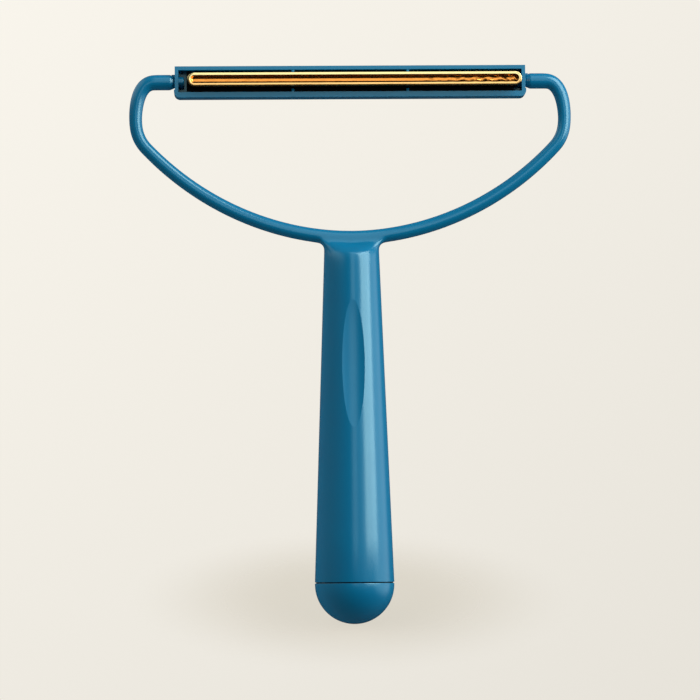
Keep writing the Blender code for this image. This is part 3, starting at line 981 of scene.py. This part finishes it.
@dataclass
class HeadHousing(Piece):
    """The open-fronted channel of the head, with lips, cheeks, bearing holes and snap tabs.

    A cheek is the lower part of an end wall, which stands a little proud of the rest. A tab's size
    is its width, depth and height.
    """

    body = Body.HEAD
    node = "head_housing"
    slot = "blue_plastic"
    lip: float = 1.28 * MM
    lower_lip_extra: float = 0.38 * MM
    end_wall: float = 1.1 * MM
    cheek: float = 0.25 * MM
    cheek_height: float = 2.1 * MM
    cheek_round: float = 0.2 * MM
    floor_y: float = 2.0 * MM
    corner_round: float = 1.8 * MM
    outer_round: float = 0.4 * MM
    inner_round: float = 0.2 * MM
    hole: float = 1.95 * MM
    notch_radius: float = 2.6 * MM
    notch_half_angle: float = 40.8
    tab_spacing: float = 35.0 * MM
    tab_size: tuple[float, float, float] = (0.85 * MM, 1.2 * MM, 0.95 * MM)
    tab_inset: float = 0.1 * MM
    tab_round: float = 0.12 * MM

    def make_channel(self) -> Shape:
        """The channel itself, from a block that is cut, pushed in and rounded.

        Returns:
            The channel.
        """
        low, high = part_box("head_housing")
        low.z -= self.lower_lip_extra
        half = high.x - self.cheek
        shape = box_shape("head_housing", Vector((-half, low.y, low.z)), Vector((half, high.y, high.z)))
        inside_x = half - self.end_wall
        inside_low, inside_high = low.z + self.lower_lip_extra + self.lip, high.z - self.lip
        cheek_top = low.z + self.lower_lip_extra + self.cheek_height
        with shape.editing():
            shape.cut_plane(2, cheek_top)
            for side in (-1, 1):
                shape.pick(Kind.FACE, lambda face: face.normal.x * side > 0.9
                           and face.calc_center_median().z < cheek_top)
                shape.push((side * self.cheek, 0.0, 0.0))
                shape.pick_edges(lambda place: abs(place.x - side * high.x) < SMALL
                                 and abs(place.z - cheek_top) < SMALL)
                shape.bevel(self.cheek_round, 3)
            shape.merge_flat()
            shape.pick_edges(
                lambda place: abs(abs(place.x) - high.x) < SMALL and abs(place.z - low.z) < SMALL,
                lambda edge: edge.verts[0].co.x * edge.verts[1].co.x > 0)
            shape.bevel(self.corner_round, 12)
            for side in (-1, 1):
                shape.cut_plane(0, side * inside_x)
            shape.cut_plane(2, inside_low)
            shape.cut_plane(2, inside_high)
            shape.pick(Kind.FACE, lambda face: face.normal.y < -0.9
                       and abs(face.calc_center_median().x) < inside_x
                       and inside_low < face.calc_center_median().z < inside_high)
            shape.push((0.0, self.floor_y - low.y, 0.0))
            shape.merge_flat()
            self.round_edges(shape, low, high)
        shape.face_outwards()
        return shape

    def round_edges(self, shape: Shape, low: Vector, high: Vector) -> None:
        """Rounds the front and back outlines, the long top edges and the mouth.

        Args:
            shape: The channel, in edit mode.
            low: The node's lowest corner.
            high: The node's highest corner.
        """
        def folded(edge: bmesh.types.BMEdge) -> bool:
            """Whether the edge is a corner between two faces."""
            return len(edge.link_faces) == 2 and edge.calc_face_angle() > math.radians(60)

        def in_mouth(place: Vector) -> bool:
            """Whether a place lies within the mouth's outline."""
            return (abs(place.x) < high.x - self.cheek - self.end_wall + SMALL
                    and low.z + self.lip - SMALL < place.z < high.z - self.lip + SMALL)

        shape.pick_edges(lambda place: abs(place.y - low.y) < SMALL and in_mouth(place), folded)
        shape.bevel(self.inner_round, 4)
        shape.pick_edges(
            lambda place: min(abs(place.y - low.y), abs(place.y - high.y)) < SMALL and not in_mouth(place),
            lambda edge: folded(edge) and abs(edge.verts[0].co.y - edge.verts[1].co.y) < SMALL)
        shape.bevel(self.outer_round, 5)

    def bearing_rod(self, name: str, radius: float) -> Shape:
        """A cutter along the swivel's axis that reaches through both end walls.

        Args:
            name: What the cutter is called.
            radius: Its radius.

        Returns:
            The cutter.
        """
        bpy.ops.mesh.primitive_cylinder_add(
            vertices=96, radius=radius, depth=2 * (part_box("head_housing")[1].x + 1.0 * MM),
            location=(0.0, 0.0, SWIVEL_Z), rotation=(0.0, math.pi / 2, 0.0),
        )
        return Shape(name)

    def cut_bearings(self, shape: Shape) -> None:
        """Cuts the spigots' holes and the notches that their keys turn in.

        Args:
            shape: The channel.
        """
        shape.combine(self.bearing_rod("holes", self.hole), Join.CUT)
        notch = self.bearing_rod("notches", self.notch_radius)
        with notch.editing():
            for side in (-1, 1):
                notch.select_all()
                turn = math.radians(self.notch_half_angle)
                normal = (0.0, side * math.cos(turn), -math.sin(turn))
                bpy.ops.mesh.bisect(
                    plane_co=(0.0, 0.0, SWIVEL_Z), plane_no=normal, use_fill=True, clear_outer=True,
                )
        notch.face_outwards()
        shape.combine(notch, Join.CUT)

    def add_tabs(self, shape: Shape) -> None:
        """Adds the four small tabs in the mouth that the insert snaps behind.

        Args:
            shape: The channel.
        """
        low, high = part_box("head_housing")
        width, depth, height = self.tab_size
        for side in (-1, 1):
            for lip_z, up in ((low.z + self.lip, 1), (high.z - self.lip, -1)):
                heights = sorted((lip_z - up * self.lip / 2, lip_z + up * height))
                middle = side * self.tab_spacing / 2
                front = low.y + self.tab_inset
                tab = box_shape(
                    "tab", Vector((middle - width / 2, front, heights[0])),
                    Vector((middle + width / 2, front + depth, heights[1])), rounded=self.tab_round,
                )
                shape.combine(tab, Join.ADD)

    def model(self) -> Shape:
        """The whole piece: the channel, its bearings and its tabs.

        Returns:
            Its finished shape.
        """
        shape = self.make_channel()
        self.cut_bearings(shape)
        self.add_tabs(shape)
        shape.smooth()
        shape.flatten_faces()
        return shape


def long_oval(name: str, profile: list[RingStep], half_length: float, sides: int) -> Shape:
    """A turned shape facing -Y, pulled apart along X into one with straight sides and round ends.

    Args:
        name: What the shape is called.
        profile: Radius and depth towards -Y of each ring, from the first ring to the last.
        half_length: Half of the finished length at the widest ring.
        sides: How many sides a ring has.

    Returns:
        The closed shape, about the Y axis.
    """
    radius, height = profile[0]
    bpy.ops.mesh.primitive_circle_add(
        vertices=sides, radius=radius, fill_type="NGON", location=(0.0, 0.0, height),
        rotation=(0.0, 0.0, math.pi / sides),
    )
    shape = Shape(name)
    straight = half_length - max(radius for radius, _ in profile)
    with shape.editing():
        shape.pick_rim(lambda place: True)
        shape.carry_ring(profile[0], profile[1:])
        bpy.ops.mesh.edge_face_add()
        for side in (-1, 1):
            shape.pick(Kind.VERTEX, lambda vertex: vertex.co.x * side > 0)
            bpy.ops.transform.translate(value=(side * straight, 0.0, 0.0))
    shape.object.rotation_euler = (math.pi / 2, 0.0, 0.0)
    shape.apply_place()
    shape.face_outwards()
    return shape


@dataclass
class BladeCarrier(Piece):
    """The black insert: a flange behind the tabs, a neck, and the plinth under the blade."""

    body = Body.HEAD
    node = "blade_carrier"
    slot = "black_plastic"
    inset: float = 0.07 * MM
    edge: float = 0.15 * MM
    gap: float = 0.3 * MM
    spigot: float = 1.7 * MM
    neck_inset: float = 1.3 * MM
    base_front: float = -1.0 * MM
    base_half: tuple[float, float] = (49.85 * MM, 3.02 * MM)

    def model(self) -> Shape:
        """The whole piece, from its flange, plinth and neck.

        Returns:
            Its finished shape.
        """
        low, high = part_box("blade_carrier")
        middle, half = middle_and_half(*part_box("blade"))
        half_x, half_z = self.base_half
        shape = box_shape(
            "blade_carrier", Vector((-half_x, self.base_front, SWIVEL_Z - half_z)),
            Vector((half_x, high.y, SWIVEL_Z + half_z)), rounded=self.edge,
        )
        plinth_half = half.z - self.inset
        front, back = -low.y, self.spigot + self.gap
        corner = (plinth_half - self.edge, front - self.edge)
        start = (plinth_half - self.edge, front)
        profile = [start, *quarter_round(corner, self.edge, 90, 0, 4), (plinth_half, back)]
        plinth = long_oval("plinth", profile, half.x - self.inset, 96)
        plinth.object.location = (middle.x, 0.0, middle.z)
        plinth.apply_place()
        neck_half = plinth_half - self.inset
        left = max(middle.x - half.x, -half_x) + self.neck_inset
        right = min(middle.x + half.x, half_x) - self.neck_inset
        neck = box_shape(
            "neck", Vector((left, (low.y - back) / 2, SWIVEL_Z - neck_half)),
            Vector((right, (self.base_front + high.y) / 2, SWIVEL_Z + neck_half)),
        )
        shape.combine(plinth, Join.ADD)
        shape.combine(neck, Join.ADD)
        shape.smooth()
        shape.flatten_faces()
        return shape


@dataclass
class Blade(Piece):
    """The brass trough with its raised rim, and the prongs that hold it in the carrier."""

    body = Body.HEAD
    node = "blade"
    slot = "brass"
    rim: float = 0.95 * MM
    rim_round: float = 0.2 * MM
    depth: float = 2.3 * MM
    trough_depth: float = 1.1 * MM
    dish_depth: float = 0.6 * MM
    sides: int = 128
    slices: int = 160
    back_round: float = 0.1 * MM
    unwaved: float = 0.05 * MM
    waved: float = 0.58
    wave_height: float = 0.16 * MM
    waves: tuple[tuple[float, float, float, float], ...] = (
        (1.0, 1.13, 0.0, 0.6), (0.7, 1.93, 2.1, 0.0), (0.5, 0.57, -1.3, 1.7))
    steady_twist: float = 0.12
    twists: tuple[tuple[float, float, float], ...] = ((0.3, 1.7, -0.36), (0.16, 2.9, 1.0))
    sideways: tuple[float, float, float] = (0.3, 1.51, 0.9)
    least_strength: float = 0.15
    stronger_from: tuple[float, float] = (24.0, 4.0)
    prongs: int = 5
    prong: tuple[float, float] = (1.6 * MM, 0.5 * MM)
    prong_overlap: float = 0.3 * MM

    def section(self, half: float, front: float) -> list[RingStep]:
        """Half of the blade's section, from the middle of the trough over the rim to the back.

        Args:
            half: Half of the blade's height.
            front: How far the rim stands towards -Y.

        Returns:
            Radius and depth towards -Y of each ring.
        """
        inner = half - self.rim
        curl = self.rim_round
        dish = (inner ** 2 + self.dish_depth ** 2) / (2 * self.dish_depth)
        floor = front - self.trough_depth
        steepest = math.degrees(math.asin(inner / dish))
        trough = quarter_round((0.0, floor + dish), dish, -90 + steepest / 16, -90 + steepest, 15)
        outer_rim = quarter_round((half - curl, front - curl), curl, 90, 0, 6)
        inner_rim = quarter_round((inner + curl, front - curl), curl, 180, 90, 6)
        back = front - self.depth
        return trough + inner_rim + outer_rim + [
            (half, back + self.back_round), (half - self.back_round, back)]

    def strength(self, along: float) -> float:
        """How strong the waves are at a place along the blade.

        Args:
            along: The place's X in mm.

        Returns:
            The strength, from 0 to 1.
        """
        middle, spread = self.stronger_from
        risen = 1 / (1 + math.exp(-(along - middle) / spread))
        return self.least_strength + (1 - self.least_strength) * risen

    def wave(self, shape: Shape, middle: Vector, half: Vector) -> None:
        """Presses the slight waves into the trough, stronger to the right.

        A wave has a height, a rate in radians per mm, a slant across the blade and a start. A twist
        and the sideways wave have a height, a rate and a start.

        Args:
            shape: The blade.
            middle: The middle of the node's box.
            half: Half of its size.
        """
        for vertex in shape.object.data.vertices:
            if vertex.co.y > middle.y - half.y + self.trough_depth + self.unwaved:
                continue
            along = vertex.co.x / MM
            strength = self.strength(along)
            across = (vertex.co.z - middle.z) / half.z
            past_end = max(0.0, (abs(vertex.co.x - middle.x) - half.x) / half.z + 1)
            inside = max(0.0, 1.0 - ((past_end ** 2 + across ** 2) / self.waved ** 2) ** 2)
            ripple = sum(height * math.sin(rate * along + slant * across + start)
                         for height, rate, slant, start in self.waves)
            twist = self.steady_twist + sum(
                height * math.sin(rate * along + start) for height, rate, start in self.twists)
            height, rate, start = self.sideways
            aside = height * math.sin(rate * along + start)
            vertex.co.y += self.wave_height * strength * inside * ripple / 2
            vertex.co.y += strength ** 2 * inside * twist * (vertex.co.z - middle.z)
            vertex.co.z += self.wave_height * strength * inside * aside

    def model(self) -> Shape:
        """The whole piece: the trough with its waves, and its prongs.

        Returns:
            Its finished shape.
        """
        low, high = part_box("blade")
        middle, half = middle_and_half(low, high)
        shape = long_oval("blade", self.section(half.z, -low.y), half.x, self.sides)
        with shape.editing():
            shape.pick(Kind.EDGE, lambda edge: edge.verts[0].co.x * edge.verts[1].co.x < 0)
            bpy.ops.mesh.subdivide(number_cuts=self.slices)
        shape.object.location = (middle.x, 0.0, middle.z)
        shape.apply_place()
        self.wave(shape, middle, half)
        front = low.y + self.depth - self.prong_overlap
        width, height = self.prong
        for number in range(self.prongs):
            x = middle.x + half.x * ((2 * number + 1) / self.prongs - 1)
            prong = box_shape(
                "prong", Vector((x - width / 2, front, middle.z - height / 2)),
                Vector((x + width / 2, high.y, middle.z + height / 2)),
            )
            shape.combine(prong, Join.ADD)
        shape.smooth(50.0)
        return shape


@dataclass
class Studio:
    """The camera, the lamp, the pale room and the floor.

    The lamp's azimuth is counted to the right of the camera's side and its elevation from the level,
    both in degrees. Room colours are the backdrop's at the upper left, upper right, lower left and
    lower right. The fill is the plain light that matt surfaces get, and its slope says from where it
    comes most.
    """

    camera_place: Vector = field(default_factory=lambda: Vector((-0.0305, -0.997, 0.0126)))
    camera_aim: Vector = field(default_factory=lambda: Vector((-0.00076, 0.0, 0.08297)))
    camera_roll: float = -0.52
    lens: float = 169.3
    lamp_azimuth: float = 54.0
    lamp_elevation: float = 27.0
    lamp_distance: float = 0.85
    lamp_size: tuple[float, float] = (0.65, 1.0)
    lamp_power: float = 12.9
    lamp_aim_z: float = 0.085
    room_colours: tuple[str, str, str, str] = ("#f9f5ec", "#f2eee5", "#eeeae1", "#e7e3da")
    half_view: float = 0.1066
    view_middle: tuple[float, float] = (0.03, 0.07)
    fill_colour: str = "#ffffff"
    fill_middle: float = 0.86
    fill_slope: tuple[float, float, float] = (-0.3, 0.78, 0.42)
    fill_least: float = 0.02
    strip_x: float = 0.045
    glow_level: float = 0.7
    strip_level: float = 1.5
    side_level: float = 1.5
    upper_left_level: float = 1.0
    back_level: float = 0.06
    dark_level: float = 0.012
    painted_shadow_colour: str = "#dfd9cc"
    floor_glow: float = 0.73
    painted_contact_light: float = 0.97
    contact_fade: float = 0.03
    contact_front: float = 0.005
    floor_margin: float = 0.002
    floor_tilt: float = 18.5
    floor_drop: float = 0.0015
    floor_behind: float = 0.032
    painted_shadow_fade: tuple[float, float] = (0.019, 0.071)

    def add_camera(self) -> None:
        """Sets the camera at the photograph's viewing angle."""
        bpy.ops.object.camera_add(location=self.camera_place)
        camera = bpy.context.active_object
        camera.data.lens = self.lens
        camera.data.sensor_width = 36.0
        camera.data.clip_start = 0.01
        look = (self.camera_aim - self.camera_place).to_track_quat("-Z", "Y")
        camera.rotation_euler = look.to_euler()
        camera.rotation_euler.rotate_axis("Z", math.radians(self.camera_roll))
        bpy.context.scene.camera = camera

    def add_lamp(self, floor: bpy.types.Object) -> None:
        """Adds the large lamp at the right, which lights everything but the floor.

        Args:
            floor: The floor.
        """
        azimuth, elevation = math.radians(self.lamp_azimuth), math.radians(self.lamp_elevation)
        level = math.cos(elevation)
        away = Vector((math.sin(azimuth) * level, -math.cos(azimuth) * level, math.sin(elevation)))
        place = Vector((0.0, 0.0, self.lamp_aim_z)) + away * self.lamp_distance
        bpy.ops.object.light_add(type="AREA", location=place)
        lamp = bpy.context.active_object
        lamp.name = "key"
        lamp.data.shape = "RECTANGLE"
        lamp.data.size, lamp.data.size_y = self.lamp_size
        lamp.data.energy = self.lamp_power
        lamp.rotation_euler = away.to_track_quat("Z", "Y").to_euler()
        group = bpy.data.collections.new("not_lit_by_key")
        group.objects.link(floor)
        lamp.light_linking.receiver_collection = group
        group.collection_objects[0].light_linking.link_state = "EXCLUDE"

    def backdrop(self, nodes: Nodes, parts: dict[str, Socket]) -> bpy.types.Node:
        """The pale backdrop that the camera sees, a little darker to the right and downwards.

        Args:
            nodes: The world's builder.
            parts: The direction's parts.

        Returns:
            The node that gives its colour.
        """
        side, height = (
            nodes.add("MapRange", {
                "Value": parts[axis], "From Min": middle - self.half_view,
                "From Max": middle + self.half_view,
            })
            for axis, middle in zip("XZ", self.view_middle)
        )
        top, bottom = (
            nodes.add("Mix", {"Factor": side, "A": left, "B": right}, data_type="RGBA")
            for left, right in (self.room_colours[:2], self.room_colours[2:])
        )
        return nodes.add("Mix", {"Factor": height, "A": bottom, "B": top}, data_type="RGBA")

    def reflected(self, nodes: Nodes, parts: dict[str, Socket]) -> bpy.types.Node:
        """What glossy surfaces mirror: a dark room with a few lights.

        Each light is the product of its fades. A fade follows a part of the direction from one limit
        to another, and changes softly from one level to another. The lights are a strip ahead, a glow
        beside it, the wall at the right, one at the upper left, and one behind.

        Args:
            nodes: The world's builder.
            parts: The direction's parts.

        Returns:
            The node that gives the level of light.
        """
        off_middle = nodes.add("Math", {0: parts["X"], 1: self.strip_x}, operation="SUBTRACT")
        aside = nodes.add("Math", {0: off_middle}, operation="ABSOLUTE")
        followed = {**parts, "aside": aside}
        levels = []
        for fades in (
            (("aside", 0.1, 0.17, self.strip_level, 0.0), ("Z", -0.12, 0.02, 0.0, 1.0),
             ("Z", 0.93, 0.99, 1.0, 0.0), ("Y", 0.0, -0.1, 0.0, 1.0)),
            (("X", -0.1, 0.5, 0.0, self.glow_level), ("X", 0.5, 0.75, 1.0, 0.0),
             ("Z", -0.3, 0.0, 0.0, 1.0), ("Y", 0.0, -0.1, 0.0, 1.0)),
            (("X", 0.8, 0.97, 0.0, self.side_level), ("Z", -0.5, -0.15, 0.0, 1.0)),
            (("X", -0.35, -0.7, 0.0, self.upper_left_level), ("Z", 0.15, 0.4, 0.0, 1.0)),
            (("Y", 0.3, 0.9, 0.0, self.back_level), ("Z", -0.1, 0.1, 0.0, 1.0)),
        ):
            steps = [
                nodes.add("MapRange", {
                    "Value": followed[part], "From Min": start, "From Max": end, "To Min": low,
                    "To Max": high,
                }, interpolation_type="SMOOTHSTEP")
                for part, start, end, low, high in fades
            ]
            levels.append(reduce(
                lambda level, step: nodes.add("Math", {0: level, 1: step}, operation="MULTIPLY"), steps))
        brightest = reduce(
            lambda level, other: nodes.add("Math", {0: level, 1: other}, operation="MAXIMUM"), levels)
        depth = nodes.add("LightPath", {}).outputs["Glossy Depth"]
        once = nodes.add("Math", {0: depth, 1: 1.5}, operation="LESS_THAN")
        lit = nodes.add("Math", {0: brightest, 1: once}, operation="MULTIPLY")
        return nodes.add("Math", {0: lit, 1: self.dark_level}, operation="MAXIMUM")

    def add_room(self) -> None:
        """The pale room, split into what is seen, what is mirrored and a plain fill light."""
        world = bpy.data.worlds.new("studio_room")
        bpy.context.scene.world = world
        nodes = Nodes(world)
        direction = nodes.add("TexCoord", {}).outputs["Generated"]
        split = nodes.add("SeparateXYZ", {"Vector": direction})
        parts = {axis: split.outputs[axis] for axis in "XYZ"}
        slope = nodes.add("VectorMath", {0: direction, 1: self.fill_slope}, operation="DOT_PRODUCT")
        level = nodes.add("Math", {0: slope, 1: self.fill_middle}, operation="ADD")
        positive = nodes.add("Math", {0: level, 1: self.fill_least}, operation="MAXIMUM")
        rays = nodes.add("LightPath", {}).outputs
        direct = nodes.add("Math", {
            0: rays["Is Camera Ray"], 1: rays["Is Transmission Ray"]}, operation="MAXIMUM")
        mirrored = self.reflected(nodes, parts)
        fill = nodes.add("Background", {"Color": self.fill_colour, "Strength": positive})
        gloss = nodes.add("Background", {"Color": self.fill_colour, "Strength": mirrored})
        shown = nodes.add("Background", {"Color": self.backdrop(nodes, parts), "Strength": 1.0})
        first = nodes.add("MixShader", {0: rays["Is Glossy Ray"], 1: fill, 2: gloss})
        second = nodes.add("MixShader", {0: direct, 1: first, 2: shown})
        nodes.add("OutputWorld", {"Surface": second})

    def add_floor(self) -> bpy.types.Object:
        """A disc under the end cap that paints a soft shadow and fades into the room.

        Its colour is darker than the room's and fades out towards its edge, which paints the shadow.
        It also takes part of the real shadow, and it glows more near the end cap to paint out the
        contact shadow.

        Returns:
            The disc.
        """
        tilt = math.radians(self.floor_tilt)
        slope = Vector((0.0, math.cos(tilt), math.sin(tilt)))
        touch = Vector((0.0, 0.0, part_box("end_cap")[1].x * (1 - 1 / math.cos(tilt)) - self.floor_drop))
        fade_start, fade_end = self.painted_shadow_fade
        bpy.ops.mesh.primitive_circle_add(
            vertices=128, radius=fade_end + self.floor_margin, fill_type="TRIFAN",
            location=touch + slope * self.floor_behind, rotation=(tilt, 0.0, 0.0),
        )
        floor = bpy.context.active_object
        floor.name = "floor"
        nodes = Nodes(bpy.data.materials.new("floor_with_painted_shadow"))
        place = nodes.add("TexCoord", {}).outputs["Object"]
        spread = nodes.add("VectorMath", {0: place}, operation="LENGTH")
        fade = nodes.add("MapRange", {
            "Value": spread, "From Min": fade_start, "From Max": fade_end}, interpolation_type="SMOOTHSTEP")
        seen = nodes.add("LightPath", {}).outputs["Is Camera Ray"]
        unseen = nodes.add("Math", {0: 1.0, 1: seen}, operation="SUBTRACT")
        back = nodes.add("NewGeometry", {}).outputs["Backfacing"]
        faded = nodes.add("Math", {0: fade, 1: unseen}, operation="MAXIMUM")
        hidden = nodes.add("Math", {0: faded, 1: back}, operation="MAXIMUM")
        # Painted light: near the end cap the disc glows more, which fills in the real contact shadow there.
        contact = nodes.add("VectorMath", {
            0: place, 1: (0.0, -self.floor_behind - self.contact_front, 0.0)}, operation="DISTANCE")
        glow = nodes.add("MapRange", {
            "Value": contact, "From Max": self.contact_fade, "To Min": self.painted_contact_light,
            "To Max": self.floor_glow,
        }, interpolation_type="SMOOTHSTEP")
        # Painted shadow: the disc's colour is darker than the room's and fades out; it is shown mostly as a
        # plain glow and partly lit.
        lit = nodes.add("BsdfDiffuse", {"Color": self.painted_shadow_colour})
        plain = nodes.add("Emission", {"Color": self.painted_shadow_colour})
        clear = nodes.add("BsdfTransparent", {})
        shown = nodes.add("MixShader", {0: glow, 1: lit, 2: plain})
        mixed = nodes.add("MixShader", {0: hidden, 1: shown, 2: clear})
        nodes.add("OutputMaterial", {"Surface": mixed})
        floor.data.materials.append(nodes.owner)
        return floor

    def build(self) -> None:
        """Sets up the whole studio."""
        bpy.context.scene.view_settings.view_transform = "Standard"
        self.add_camera()
        self.add_room()
        self.add_lamp(self.add_floor())


def main() -> None:
    """Builds the pieces in order, then the studio."""
    logging.basicConfig(level=logging.INFO, format="%(name)s: %(message)s")
    blue = SatinMoulding(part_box("bow_handle")[0].z - TOUCH_GAP / 2).make()
    brass = PressedBrass(middle_and_half(*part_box("blade"))[0].z).make()
    BowHandle().build(blue)
    EndCap().build(blue)
    HeadHousing().build(blue)
    BladeCarrier().build(MattMoulding().make())
    Blade().build(brass)
    Studio().build()


if __name__ == "__main__":
    main()
